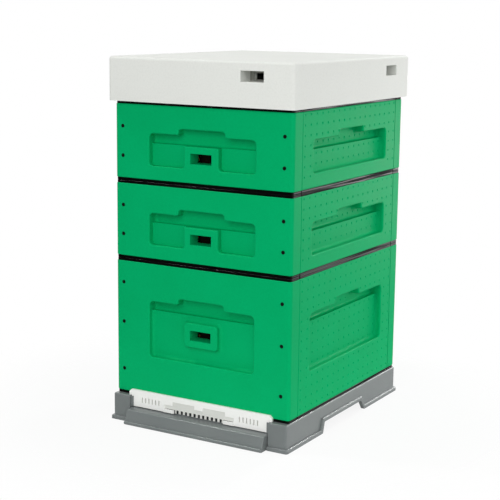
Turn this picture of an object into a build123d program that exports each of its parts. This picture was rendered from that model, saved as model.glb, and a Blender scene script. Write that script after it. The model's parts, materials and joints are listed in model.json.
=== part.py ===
"""Ten-frame Dadant beehive in foam panels: bottom board, brood box, two supers and roof.

Millimetres. +X is the hive's right as seen from the front, the entrance faces -Y, +Z is up,
and the bottom board stands on z = 0. The standard frame comes first, because it sets the boxes.
A solid that cuts runs 1 mm past each face that it opens.
"""

import os
from functools import cache

from build123d import *

# Frames
FRAME_COUNT = 10
FRAME_PITCH = 36.8
FRAME_PLAY = 2.0
FRAME_W = 435.0
LUG_L = 17.5
LUG_T = 10.0
BAR_W = 25.0
TOPBAR_T = 20.0
SIDEBAR_T = 10.0
SIDEBAR_GAP = 0.3
SIDEBAR_WIDE = FRAME_PITCH - SIDEBAR_GAP
BROOD_FRAME_H = 300.0
SUPER_FRAME_H = 160.0
BROOD_SHOULDER_H = 95.0
SUPER_SHOULDER_H = 55.0
BOTTOMBAR_W = 20.0
BOTTOMBAR_T = 9.0
WAX_T = 1.2

# Boxes: room round the frames, foam wall, and the black edging that caps each panel
WALL = 37.0
EDGE_H = 6.3
EDGE_INSET = 1.2
RAIL_DROP = 10.7
END_SPACE = 10.05
BROOD_FOOT_SPACE = 3.6
SUPER_FOOT_SPACE = 6.4
CORNER_R = 8.0
SEAM = 1.4
SEAM_CHAMFER = 1.4
PANEL_CHAMFER = 1.0
BEE_SPACE = EDGE_H + RAIL_DROP - LUG_T
INNER_W = FRAME_COUNT * FRAME_PITCH + FRAME_PLAY
INNER_D = FRAME_W + 2 * END_SPACE
BOX_W = INNER_W + 2 * WALL
BOX_D = INNER_D + 2 * WALL
BROOD_PANEL_H = BROOD_FRAME_H + BEE_SPACE + BROOD_FOOT_SPACE - 2 * EDGE_H
SUPER_PANEL_H = SUPER_FRAME_H + BEE_SPACE + SUPER_FOOT_SPACE - 2 * EDGE_H

# Handholds: one deep grip band with a raised middle, and a shallower pocket under it
POCKET_DEPTH = 14.0
GRIP_DEPTH = 25.0
GRIP_H = 22.0
GRIP_R = 10.0
TAB_H = 13.0
TAB_HALF = 58.0
TAB_R = 7.5
TAB_ROOT_R = 5.0
POCKET_R = 10.0
POCKET_LIP = 3.5
POCKET_FLOOR_R = 7.0
GRIP_FLOOR_R = 6.0
RIM_FROM_END = 40.0
RIM_FROM_EDGE = 8.0
FRONT_POCKET_END = 89.0
SIDE_POCKET_END = 50.5
FRONT_POCKET_HALF = BOX_W / 2 - FRONT_POCKET_END
SIDE_POCKET_HALF = INNER_D / 2 - SIDE_POCKET_END
SUPER_POCKET_Z = 30.5
SUPER_POCKET_H = 47.2
BROOD_POCKET_Z = 88.5
BROOD_POCKET_H = 103.6

# Flight hole and the flush block of foam around it
HOLE_HALF = 26.6
HOLE_H = 22.3
HOLE_RELIEF = 5.0
HOLE_RELIEF_SIDE = 12.0
SUPER_HOLE_UP = 10.3
SUPER_HOLE_Z = SUPER_POCKET_Z + SUPER_HOLE_UP
BOSS_HALF = 43.0
BOSS_R = 8.0
BROOD_BOSS_UP = 35.5
BROOD_BOSS_H = 54.7
BROOD_BOSS_Z = BROOD_POCKET_Z + BROOD_BOSS_UP
BROOD_HOLE_UP = 16.0
BROOD_HOLE_Z = BROOD_BOSS_Z + BROOD_HOLE_UP

# Corner joint: side panel tongue in a front panel groove, held by screws
TONGUE_T = 11.6
TONGUE_L = 8.4
TONGUE_GAP = 0.3
SCREW_INSET = 20.5
SCREW_X = BOX_W / 2 - SCREW_INSET
SCREW_HEAD_R = 3.4
SCREW_HEAD_H = 4.0
SCREW_SINK = 1.6
SCREW_R = 2.2
SCREW_L = 80.0
SCREW_GAP = 0.15
SUPER_SCREW_END = 48.2
BROOD_SCREW_LOW = 51.5
BROOD_SCREW_MID = 159.8
BROOD_SCREW_HIGH = 48.0
SUPER_SCREW_Z = (SUPER_SCREW_END, SUPER_PANEL_H - SUPER_SCREW_END)
BROOD_SCREW_Z = (BROOD_SCREW_LOW, BROOD_SCREW_MID, BROOD_PANEL_H - BROOD_SCREW_HIGH)

# Edging: a cap strip with a tongue pressed into the panel, and a rail for frame lugs
EDGE_TONGUE_T = 4.0
EDGE_TONGUE_L = 9.0
EDGE_TONGUE_U = 9.0
EDGE_TONGUE_END = 6.0
EDGE_GAP = 0.2
EDGE_NOTCH = 2.0
EDGE_NOTCH_DEEP = 6.0
EDGE_EASE = 0.8
RAIL_SEAT = 11.0
RAIL_U = WALL - RAIL_SEAT
RAIL_T = 3.0

# Bottom board
BASE_H = 60.2
BASE_OVER_X = 1.3
BASE_OVER_FRONT = 12.1
BASE_OVER_BACK = 3.0
BASE_HALF_W = BOX_W / 2 + BASE_OVER_X
BASE_FRONT = -BOX_D / 2 - BASE_OVER_FRONT
BASE_BACK = BOX_D / 2 + BASE_OVER_BACK
BASE_WALL = 4.0
BASE_R = 5.0
BASE_INNER_R = 0.5
LIP_OUT = 5.0
LIP_H = 9.0
LIP_R = 6.0
LIP_SOFT = 3.5
DECK_TOP = 35.0
DECK_T = 5.0
BLOCK_STEP = 6.5
BLOCK_IN = INNER_W / 2 - BLOCK_STEP
BLOCK_WALL = 5.0
PORCH_OUT = 0.6
PORCH_Y = -BOX_D / 2 - PORCH_OUT
NOTCH_FRONT = -118.0
NOTCH_BACK = 92.0
NOTCH_TOP_FRONT = -110.0
NOTCH_TOP_BACK = 73.0
NOTCH_H = 25.0
NOTCH_CUT = 12.0
BEAD = 9.0
SLOT_DEPTH = 5.5
SLOT_LIP_IN = BLOCK_IN - SLOT_DEPTH
SLOT_LIP_T = 2.6
SLOT_LIP_DROP = 2.0
RIB_T = 3.0
RIB_COUNT = 5
RIB_H = 14.0
SIDE_RIB_IN = 18.0
SIDE_RIB_OVER = 6.0
SIDE_RIB_FOOT = 12.0

# Grille, tray and its rails
GRILLE_SIDE = 29.0
GRILLE_FRONT_SPACE = 50.4
GRILLE_BACK_SPACE = 26.4
GRILLE_HALF = INNER_W / 2 - GRILLE_SIDE
GRILLE_FRONT = -INNER_D / 2 + GRILLE_FRONT_SPACE
GRILLE_BACK = INNER_D / 2 - GRILLE_BACK_SPACE
GRILLE_T = 2.4
GRILLE_SEAT = 8.0
GRILLE_SLOT = 3.4
GRILLE_BARS = 26
GRILLE_RIM = 4.0
GRILLE_BRIDGE = 6.0
TRAY_OVER = 10.0
TRAY_HALF = GRILLE_HALF + TRAY_OVER
TRAY_FRONT = GRILLE_FRONT - TRAY_OVER
TRAY_T = 3.0
TRAY_DROP = 17.0
TRAY_Z = DECK_TOP - DECK_T - TRAY_DROP
TRAY_FACE_H = 14.0
TRAY_FACE_T = 3.6
TRAY_RIM_T = 2.4
TRAY_GRIP_HALF = 45.0
TRAY_GRIP_OUT = 4.0
TRAY_GRIP_H = 4.0
RAIL_LEDGE = 9.0
RAIL_WEB = 3.0
TRAY_GAP = 0.4

# Landing board
LAND_GAP = 1.5
LAND_HALF = BLOCK_IN - LAND_GAP
LAND_BELOW = 1.4
LAND_TOP = DECK_TOP - LAND_BELOW
LAND_FLAT = 25.0
LAND_FALL = 1.8
LAND_EDGE_Y = PORCH_Y - LAND_FLAT
LAND_EDGE_Z = LAND_TOP - LAND_FALL
LAND_REACH = 35.0
LAND_FOOT_Y = PORCH_Y - LAND_REACH
LAND_ROLL_R = 4.2
LAND_SHELL = 3.0
LAND_CROWN = 0.4
LAND_HEEL = 1.5
LAND_WEB_FOOT = 2.0
LAND_NOSE_R = 6.0
LAND_END_R = 2.4
HOOK_HALF = 16.0
HOOK_X = 110.0
HOOK_T = 3.0
HOOK_L = 12.0
HOOK_Z = 18.0
HOOK_SIDE_GAP = 0.3
HOOK_GAP = 0.2

# Entrance closure and the toothed gate that slides up behind it
COMB_SLOTS = 11
COMB_PITCH = 11.2
COMB_SLOT = 6.0
COMB_END = 0.4
COMB_HALF = COMB_SLOTS * COMB_PITCH / 2 + COMB_END
CLOSURE_T = 4.8
CLOSURE_GAP = 0.2
CLOSURE_FOOT = 0.3
CLOSURE_SIDE_GAP = 0.5
CLOSURE_BOTTOM = DECK_TOP + CLOSURE_FOOT
CLOSURE_HALF = BLOCK_IN - CLOSURE_SIDE_GAP
EAR_LAP = 6.0
EAR_HALF = BLOCK_IN + EAR_LAP
EAR_H = 7.8
EAR_CHAMFER = 6.0
WINDOW_UP = 1.3
WINDOW_SIDE = 28.0
WINDOW_HALF = COMB_HALF + WINDOW_SIDE
WINDOW_TOP = BASE_H + WINDOW_UP
UPPER_TAB_SIDE = 6.0
UPPER_TAB_H = 9.0
UPPER_TAB_IN = COMB_HALF + UPPER_TAB_SIDE
UPPER_TAB_BOTTOM = WINDOW_TOP - UPPER_TAB_H
MID_TAB_HALF = 11.0
MID_TAB_H = 8.0
LOWER_BLOCK_SIDE = 2.0
LOWER_BLOCK_UP = 7.6
LOWER_BLOCK_IN = COMB_HALF + LOWER_BLOCK_SIDE
LOWER_BLOCK_TOP = DECK_TOP + LOWER_BLOCK_UP
LOWER_BLOCK_OUT = 2.0
SKIN = 1.6
GATE_T = 1.4
GATE_GAP = 0.1
GATE_LAP = 3.5
GATE_HALF = WINDOW_HALF + GATE_LAP
GATE_BAR_UP = 8.5
GATE_TOP_UP = 0.5
GATE_FOOT = 1.0
GATE_BAR_Z = DECK_TOP + GATE_BAR_UP
GATE_TOP = WINDOW_TOP + GATE_TOP_UP
GATE_BOTTOM = DECK_TOP + GATE_FOOT
GATE_TRAVEL = 9.0
GATE_STOP = 0.3
CLOSURE_HEAD = 2.4
CLOSURE_TOP = GATE_TOP + GATE_TRAVEL + GATE_STOP + CLOSURE_HEAD
GUIDE = 4.0
VENT_MARKS = 6
VENT_MARK_SIDE = 14.4
VENT_MARK_X = WINDOW_HALF + VENT_MARK_SIDE
VENT_MARK_PITCH = 9.0
VENT_MARK_W = 3.2
VENT_MARK_UP = 11.0
VENT_MARK_Z = DECK_TOP + VENT_MARK_UP
VENT_MARK_H = 12.0
VENT_MARK_DEEP = 3.0

# Crown board and roof
CROWN_T = 4.0
CROWN_LAP = 15.0
CROWN_GAP = 2.0
CROWN_AIR = 0.4
ROOF_OVER_X = 7.4
ROOF_OVER_Y = 14.6
ROOF_H = 95.2
ROOF_R = 8.0
ROOF_TOP_R = 6.4
ROOF_TOP_T = 19.0
ROOF_CAVITY_R = 12.0
ROOF_VENT_W = 55.0
ROOF_VENT_H = 22.5
ROOF_VENT_DROP = 1.1
ROOF_VENT_Z = ROOF_H - ROOF_TOP_T - ROOF_VENT_DROP - ROOF_VENT_H
ROOF_VENT_END = 98.0
ROOF_VENT_SKIN = 11.0
ROOF_VENT_HOLE_W = 36.0
ROOF_VENT_HOLE_H = 13.5
ROOF_VENT_SILL = 3.0

# Levels of the stack
FRONT_Y = -BOX_D / 2
BROOD_Z = BASE_H
BROOD_TOP = BROOD_Z + BROOD_PANEL_H + 2 * EDGE_H
SUPER1_Z = BROOD_TOP
SUPER1_TOP = SUPER1_Z + SUPER_PANEL_H + 2 * EDGE_H
SUPER2_Z = SUPER1_TOP
SUPER2_TOP = SUPER2_Z + SUPER_PANEL_H + 2 * EDGE_H
ROOF_HALF_W = BOX_W / 2 + ROOF_OVER_X
ROOF_HALF_D = BOX_D / 2 + ROOF_OVER_Y
LAND_FRONT = LAND_FOOT_Y - LAND_ROLL_R
SHIFT_Y = -(min(LAND_FRONT, -ROOF_HALF_D) + max(ROOF_HALF_D, BASE_BACK + LIP_OUT)) / 2

OUTER = Plane(origin=(0, 0, 0), x_dir=(1, 0, 0), z_dir=(0, -1, 0))

os.makedirs("parts", exist_ok=True)


def block(x0, x1, y0, y1, z0, z1):
    """Box between two corners."""
    return Pos((x0 + x1) / 2, (y0 + y1) / 2, (z0 + z1) / 2) * Box(x1 - x0, y1 - y0, z1 - z0)


def prism(points, along, start, length):
    """Polygon in the plane across the x or y axis, extruded along that axis."""
    if along == "x":
        corners, way = [(start, a, b) for a, b in points], (1, 0, 0)
    else:
        corners, way = [(a, start, b) for a, b in points], (0, 1, 0)
    return extrude(Face(Wire.make_polygon(corners, close=True)), length, dir=way)


def write(name, pieces):
    """Writes one node, moved so that the whole hive is centred front to back."""
    solids = [Pos(0, SHIFT_Y, 0) * s for piece in pieces for s in piece.solids()]
    shape = solids[0] if len(solids) == 1 else Compound(children=solids)
    export_step(shape, f"parts/{name}.step")


def sketch_rect(x0, x1, z0, z1):
    return Pos((x0 + x1) / 2, (z0 + z1) / 2) * Rectangle(x1 - x0, z1 - z0)


def handhold(half, z, pocket_h, boss):
    """Hollow of a handhold in the outer face, as one solid to cut away.

    boss is None, or the (half width, z, height) of foam left flush inside the pocket.
    """
    ledge = z + pocket_h
    grip_top = ledge + GRIP_H
    band = sketch_rect(-half, half, ledge, grip_top)
    band += sketch_rect(-TAB_HALF, TAB_HALF, ledge, grip_top + TAB_H)
    band = fillet([v for v in band.vertices() if v.Y > grip_top + 1], TAB_R)
    shoulders = [v for v in band.vertices() if abs(v.Y - grip_top) < 0.01]
    band = fillet([v for v in shoulders if abs(v.X) < TAB_HALF + 1], TAB_ROOT_R)
    shoulders = [v for v in band.vertices() if abs(v.Y - grip_top) < 0.01]
    band = fillet([v for v in shoulders if abs(v.X) > half - 1], GRIP_R)
    pocket = sketch_rect(-half, half, z, ledge)
    if boss:
        boss_half, boss_z, boss_h = boss
        pocket -= sketch_rect(-boss_half, boss_half, boss_z, boss_z + boss_h)
    soft = [v for v in pocket.vertices() if v.Y < ledge - 1]
    pocket = fillet(soft, POCKET_R if not boss else min(POCKET_R, BOSS_R))
    grip = extrude(OUTER * band, -GRIP_DEPTH)
    grip = fillet([e for e in grip.edges() if abs(e.center().Y - GRIP_DEPTH) < 0.01], GRIP_FLOOR_R)
    for part in extrude(OUTER * pocket, -POCKET_DEPTH).solids():
        floor = [e for e in part.edges() if abs(e.center().Y - POCKET_DEPTH) < 0.01]
        grip += fillet([e for e in floor if e.center().Z < ledge - 0.5], POCKET_FLOOR_R)
    return grip


def soften(panel, radius):
    """Rounds the moulded edges where the handhold meets the outer face."""
    rim = [
        e
        for e in panel.edges()
        if abs(e.bounding_box().min.Y) < 1e-4
        and abs(e.bounding_box().max.Y) < 1e-4
        and abs(e.center().X) < panel.bounding_box().max.X - RIM_FROM_END
        and RIM_FROM_EDGE < e.center().Z < panel.bounding_box().max.Z - RIM_FROM_EDGE
    ]
    return fillet(rim, radius)


def ease(panel, size):
    """Chamfers the outer run of a panel's top and bottom edges, where they meet the edging."""
    ends = panel.faces().filter_by(Axis.Z)
    outer = [e for face in ends for e in face.edges() if e.center().Y < WALL - 0.1]
    return chamfer(outer, size)


@cache
def front_panel(height, pocket_z, pocket_h, boss, screw_z):
    """Front or back panel: outer face on y = 0, facing -Y, bottom edge on z = 0."""
    half = BOX_W / 2
    panel = block(-half, half, 0, WALL, 0, height)
    panel = fillet([e for e in panel.edges().filter_by(Axis.Z) if e.center().Y < 1], CORNER_R)
    panel = ease(panel, PANEL_CHAMFER)
    panel -= handhold(FRONT_POCKET_HALF, pocket_z, pocket_h, boss)
    panel = soften(panel, POCKET_LIP)
    for side in (-1, 1):
        middle = side * (half - WALL / 2)
        reach = TONGUE_T / 2 + TONGUE_GAP
        panel -= block(middle - reach, middle + reach, WALL - TONGUE_L - TONGUE_GAP, WALL + 1, -1, height + 1)
        for z in screw_z:
            panel -= screw(side * SCREW_X, z, SCREW_GAP)
    groove, run = EDGE_TONGUE_T / 2 + EDGE_GAP, half - CORNER_R - EDGE_INSET + EDGE_GAP
    for z0, z1 in ((-1, EDGE_TONGUE_L + EDGE_GAP), (height - EDGE_TONGUE_L - EDGE_GAP, height + 1)):
        panel -= block(-run, run, EDGE_TONGUE_U - groove, EDGE_TONGUE_U + groove, z0, z1)
    rail = INNER_W / 2
    panel -= block(-rail, rail, RAIL_U - RAIL_T, WALL + 1, height - RAIL_DROP - RAIL_T, height + 1)
    return panel


@cache
def flight_hole(z):
    """Flight hole and the relief round it on the inner face, as one solid to cut away."""
    wide, more = HOLE_HALF + HOLE_RELIEF_SIDE, HOLE_RELIEF_SIDE
    through = block(-HOLE_HALF, HOLE_HALF, -1, WALL + 1, z, z + HOLE_H)
    return through + block(-wide, wide, WALL - HOLE_RELIEF, WALL + 1, z - more, z + HOLE_H + more)


@cache
def side_panel(height, pocket_z, pocket_h, screw_z):
    """Side panel between the front and back panels, in the same pose as a front panel."""
    half = INNER_D / 2 - SEAM
    panel = block(-half, half, 0, WALL, 0, height)
    panel = chamfer(panel.faces().sort_by(Axis.Y)[0].edges(), SEAM_CHAMFER)
    panel -= handhold(SIDE_POCKET_HALF, pocket_z, pocket_h, None)
    panel = soften(panel, POCKET_LIP)
    thin0, thin1 = WALL / 2 - TONGUE_T / 2, WALL / 2 + TONGUE_T / 2
    for side in (-1, 1):
        x0, x1 = sorted((side * half, side * (half + TONGUE_L)))
        panel += block(x0, x1, thin0, thin1, 0, height - RAIL_DROP - RAIL_T - 1)
    groove, run = EDGE_TONGUE_T / 2 + EDGE_GAP, half - EDGE_TONGUE_END + EDGE_GAP
    for z0, z1 in ((-1, EDGE_TONGUE_L + EDGE_GAP), (height - EDGE_TONGUE_L - EDGE_GAP, height + 1)):
        panel -= block(-run, run, EDGE_TONGUE_U - groove, EDGE_TONGUE_U + groove, z0, z1)
    pilot = Rot(0, 90, 0) * Cylinder(SCREW_R + SCREW_GAP, SCREW_L + 4)
    for side in (-1, 1):
        for z in screw_z:
            panel -= Pos(side * (BOX_D / 2 - SCREW_L / 2), BOX_W / 2 - SCREW_X, z) * pilot
    return panel


def screw(x, z, gap):
    """Screw from the outer face inwards; with a gap it is the hole that the screw sits in."""
    head_end = SCREW_SINK + SCREW_HEAD_H
    start = -1 if gap else SCREW_SINK
    head = Pos(x, (start + head_end) / 2, z) * Rot(90, 0, 0) * Cylinder(SCREW_HEAD_R + gap, head_end - start)
    length = SCREW_L + gap
    shank = Pos(x, (head_end + length) / 2, z) * Rot(90, 0, 0) * Cylinder(SCREW_R + gap, length - head_end)
    return head + shank


def cap(half_len, height, z, rounded):
    """Strip that covers a panel's edge, with its tongue on the side the sign of height gives."""
    plan = Pos(0, (WALL + EDGE_INSET) / 2) * Rectangle(2 * half_len, WALL - EDGE_INSET)
    if rounded:
        plan = fillet([v for v in plan.vertices() if v.Y < WALL / 2], CORNER_R - EDGE_INSET)
    strip = extrude(Plane(origin=(0, 0, min(z, z + height))) * plan, abs(height))
    shown = WALL - 0.1 if rounded else EDGE_INSET + 0.1
    rims = [e for face in strip.faces().filter_by(Axis.Z) for e in face.edges()]
    return chamfer([e for e in rims if e.center().Y < shown], EDGE_EASE)


def front_edgings(height):
    """Top strip with the frame rail, and bottom strip, for a front or back panel."""
    half = BOX_W / 2 - EDGE_INSET
    tongue = half - CORNER_R
    u0, u1 = EDGE_TONGUE_U - EDGE_TONGUE_T / 2, EDGE_TONGUE_U + EDGE_TONGUE_T / 2
    top = cap(half, EDGE_H, height, True)
    top -= block(-INNER_W / 2, INNER_W / 2, RAIL_U, WALL + 1, height - 1, height + EDGE_H + 1)
    top += block(-tongue, tongue, u0, u1, height - EDGE_TONGUE_L, height + EDGE_H / 2)
    rail, rail_u = INNER_W / 2 - EDGE_GAP, RAIL_U - RAIL_T + EDGE_GAP
    rail_z = height - RAIL_DROP - RAIL_T + EDGE_GAP
    top += block(-rail, rail, rail_u, RAIL_U, rail_z, height + EDGE_H / 2)
    top += block(-rail, rail, rail_u, WALL, rail_z, height - RAIL_DROP)
    bottom = cap(half, -EDGE_H, 0, True)
    bottom += block(-tongue, tongue, u0, u1, -EDGE_H / 2, EDGE_TONGUE_L)
    return [top, bottom]


def side_edgings(height):
    half = INNER_D / 2 - SEAM
    u0, u1 = EDGE_TONGUE_U - EDGE_TONGUE_T / 2, EDGE_TONGUE_U + EDGE_TONGUE_T / 2
    top = cap(half, EDGE_H, height, False)
    run = half - EDGE_TONGUE_END
    top += block(-run, run, u0, u1, height - EDGE_TONGUE_L, height + EDGE_H / 2)
    bottom = cap(half, -EDGE_H, 0, False)
    bottom += block(-run, run, u0, u1, -EDGE_H / 2, EDGE_TONGUE_L)
    # a slit beside the front and back strips
    for end in (-1, 1):
        x0, x1 = sorted((end * (half - EDGE_NOTCH), end * (half + 1)))
        top -= block(x0, x1, 0, EDGE_NOTCH_DEEP, height - 1, height + EDGE_H + 1)
        bottom -= block(x0, x1, 0, EDGE_NOTCH_DEEP, -EDGE_H - 1, 1)
    return [top, bottom]


def place(shape, side, z):
    """Moves a panel made as a front panel to one side of the box."""
    turn, x, y = {
        "front": (0, 0, FRONT_Y),
        "right": (90, BOX_W / 2, 0),
        "back": (180, 0, -FRONT_Y),
        "left": (-90, -BOX_W / 2, 0),
    }[side]
    return Pos(x, y, z) * Rot(0, 0, turn) * shape


def box_nodes(name, z, height, pocket_z, pocket_h, front_boss, screw_z, hole_z):
    """Panels, edgings and screws of one box whose lower edging starts at z."""
    foot = z + EDGE_H
    blank = front_panel(height, pocket_z, pocket_h, front_boss, screw_z)
    side = side_panel(height, pocket_z, pocket_h, screw_z)
    write(f"{name}_front_panel", [place(blank - flight_hole(hole_z), "front", foot)])
    write(f"{name}_back_panel", [place(blank, "back", foot)])
    write(f"{name}_left_panel", [place(side, "left", foot)])
    write(f"{name}_right_panel", [place(side, "right", foot)])
    front_strips, side_strips = front_edgings(height), side_edgings(height)
    strips = [place(s, where, foot) for where in ("front", "back") for s in front_strips]
    strips += [place(s, where, foot) for where in ("left", "right") for s in side_strips]
    write(f"{name}_edgings", strips)
    screws = [screw(x, h, 0) for x in (-SCREW_X, SCREW_X) for h in screw_z]
    write(f"{name}_screws", [place(s, where, foot) for where in ("front", "back") for s in screws])


def frame_nodes(name, box_top, height, shoulder):
    """Ten frames hung on the rails of a box, and their foundation sheets."""
    top = box_top - BEE_SPACE
    foot = top - height
    inner = FRAME_W / 2 - SIDEBAR_T
    sheets = []
    for i in range(FRAME_COUNT):
        x = (i - (FRAME_COUNT - 1) / 2) * FRAME_PITCH
        reach = FRAME_W / 2 + LUG_L
        topbar = block(x - BAR_W / 2, x + BAR_W / 2, -reach, reach, top - LUG_T, top)
        topbar += block(x - BAR_W / 2, x + BAR_W / 2, -inner, inner, top - TOPBAR_T, top - LUG_T)
        wide, slim, bend = SIDEBAR_WIDE / 2, BAR_W / 2, top - LUG_T - shoulder
        taper = bend - (wide - slim) * 2
        outline = [
            (x - slim, foot), (x + slim, foot), (x + slim, taper), (x + wide, bend),
            (x + wide, top - LUG_T), (x - wide, top - LUG_T), (x - wide, bend), (x - slim, taper),
        ]
        bars = [topbar]
        for y in (-FRAME_W / 2, inner):
            bars.append(prism(outline, "y", y, SIDEBAR_T))
        bars.append(block(x - BOTTOMBAR_W / 2, x + BOTTOMBAR_W / 2, -inner, inner, foot, foot + BOTTOMBAR_T))
        write(f"{name}_frame_{i + 1:02d}", bars)
        sheets.append(block(x - WAX_T / 2, x + WAX_T / 2, -inner, inner, foot + BOTTOMBAR_T, top - TOPBAR_T))
    write(f"{name}_foundations", sheets)


def bottom_board():
    """Skirted moulding with a sunken deck, corner blocks, notches and tray rails."""
    w, f, b, t = BASE_HALF_W, BASE_FRONT, BASE_BACK, BASE_WALL
    middle, depth = (f + b) / 2, b - f

    def ring(out, corner, z0, z1):
        plan = Pos(0, middle) * RectangleRounded(2 * (w + out), depth + 2 * out, corner)
        return extrude(Plane(origin=(0, 0, z0)) * plan, z1 - z0)

    lip = ring(LIP_OUT, LIP_R, 0, LIP_H)
    lip = fillet(lip.edges().group_by(Axis.Z)[-1], LIP_SOFT)
    shell = ring(0, BASE_R, 0, BASE_H)
    shell = fillet(shell.edges().group_by(Axis.Z)[-1], LIP_SOFT)
    shell += lip
    lean_f = (NOTCH_TOP_FRONT - NOTCH_FRONT) / NOTCH_H
    lean_b = (NOTCH_BACK - NOTCH_TOP_BACK) / NOTCH_H
    reach_f, reach_b = BEAD * (1 + lean_f**2) ** 0.5, BEAD * (1 + lean_b**2) ** 0.5
    high = NOTCH_H + BEAD
    bead = [
        (NOTCH_FRONT - reach_f, 0), (NOTCH_FRONT - reach_f + lean_f * high, high),
        (NOTCH_BACK + reach_b - lean_b * high, high), (NOTCH_BACK + reach_b, 0),
    ]
    notch = [
        (NOTCH_FRONT - lean_f, -1), (NOTCH_TOP_FRONT, NOTCH_H),
        (NOTCH_TOP_BACK, NOTCH_H), (NOTCH_BACK + lean_b, -1),
    ]
    for side in (-1, 1):
        around = prism(bead, "x", side * w if side > 0 else -w - LIP_OUT, LIP_OUT)
        outer_face = around.faces().sort_by(Axis.X)[-1 if side > 0 else 0]
        around = fillet(outer_face.edges(), LIP_SOFT)
        shell += around
    # hollow underneath, then the sunken deck with its walls
    shell -= ring(-t, max(BASE_R - t, BASE_INNER_R), -1, BASE_H - t)
    basin_w, basin_d = INNER_W / 2, INNER_D / 2
    shell += block(-basin_w - t, basin_w + t, -basin_d - t, basin_d + t, DECK_TOP - DECK_T, BASE_H - t / 2)
    shell -= block(-basin_w, basin_w, -basin_d, basin_d, DECK_TOP, BASE_H + 1)
    # porch between the corner blocks
    shell -= block(-BLOCK_IN, BLOCK_IN, f - LIP_OUT - 1, -basin_d + 1, DECK_TOP - DECK_T - 1, BASE_H + 1)
    shell -= block(-BLOCK_IN, BLOCK_IN, f - LIP_OUT - 1, PORCH_Y, -1, BASE_H + 1)
    shell += block(-BLOCK_IN - t, BLOCK_IN + t, PORCH_Y, PORCH_Y + t, 0, DECK_TOP)
    shell += block(-BLOCK_IN - t, BLOCK_IN + t, PORCH_Y, -basin_d + 2, DECK_TOP - DECK_T, DECK_TOP)
    for side in (-1, 1):
        x0, x1 = sorted((side * BLOCK_IN, side * (BLOCK_IN + BLOCK_WALL)))
        shell += block(x0, x1, f + 1, -basin_d, 0, BASE_H - t / 2)
        # vertical slot for the closure, between two lips
        x0, x1 = sorted((side * SLOT_LIP_IN, side * (BLOCK_IN + 1)))
        slot_back, slot_front = FRONT_Y, FRONT_Y - CLOSURE_T - 2 * CLOSURE_GAP
        lip_top = BASE_H - SLOT_LIP_DROP
        shell += block(x0, x1, slot_front - SLOT_LIP_T, slot_front, DECK_TOP, lip_top)
        shell += block(x0, x1, slot_back, slot_back + SLOT_LIP_T, DECK_TOP - 1, lip_top)
        for i in range(RIB_COUNT):
            y = -basin_d + (i + 0.5) * 2 * basin_d / RIB_COUNT
            x0, x1 = sorted((side * (basin_w + t / 2), side * (w - t / 2)))
            shell += block(x0, x1, y - RIB_T / 2, y + RIB_T / 2, BASE_H - t - RIB_H, BASE_H - t / 2)
        x0, x1 = sorted((side * (w - SIDE_RIB_IN - RIB_T), side * (w - SIDE_RIB_IN)))
        y0, y1 = NOTCH_TOP_FRONT - SIDE_RIB_OVER, NOTCH_TOP_BACK + SIDE_RIB_OVER
        shell += block(x0, x1, y0, y1, SIDE_RIB_FOOT, BASE_H - t / 2)
    # window with a seat for the grille
    for out, low in ((TRAY_GAP, DECK_TOP - GRILLE_T), (-GRILLE_SEAT, DECK_TOP - DECK_T - 1)):
        g, y0, y1 = GRILLE_HALF + out, GRILLE_FRONT - out, GRILLE_BACK + out
        shell -= block(-g, g, y0, y1, low, DECK_TOP + 1)
    # tray rails under the deck and the slot in the back wall
    tray = TRAY_HALF + TRAY_GAP
    for side in (-1, 1):
        x0, x1 = sorted((side * tray, side * (tray + RAIL_WEB)))
        shell += block(x0, x1, TRAY_FRONT, b - t / 2, TRAY_Z - RAIL_WEB, DECK_TOP - DECK_T / 2)
        x0, x1 = sorted((side * (tray - RAIL_LEDGE), side * (tray + 1)))
        shell += block(x0, x1, TRAY_FRONT, b - t / 2, TRAY_Z - RAIL_WEB, TRAY_Z)
    shell -= block(-tray, tray, b - t - 1, b + 1, TRAY_Z, TRAY_Z + TRAY_FACE_H + TRAY_GAP)
    for side in (-1, 1):
        shell -= prism(notch, "x", side * w - NOTCH_CUT, 2 * NOTCH_CUT)
    # slots for the hooks of the landing board
    hook, z0, z1 = HOOK_HALF + HOOK_SIDE_GAP, HOOK_Z - HOOK_GAP, HOOK_Z + HOOK_T + HOOK_GAP
    for x in (-HOOK_X, HOOK_X):
        shell -= block(x - hook, x + hook, PORCH_Y - 1, PORCH_Y + t + 1, z0, z1)
    return shell


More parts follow.
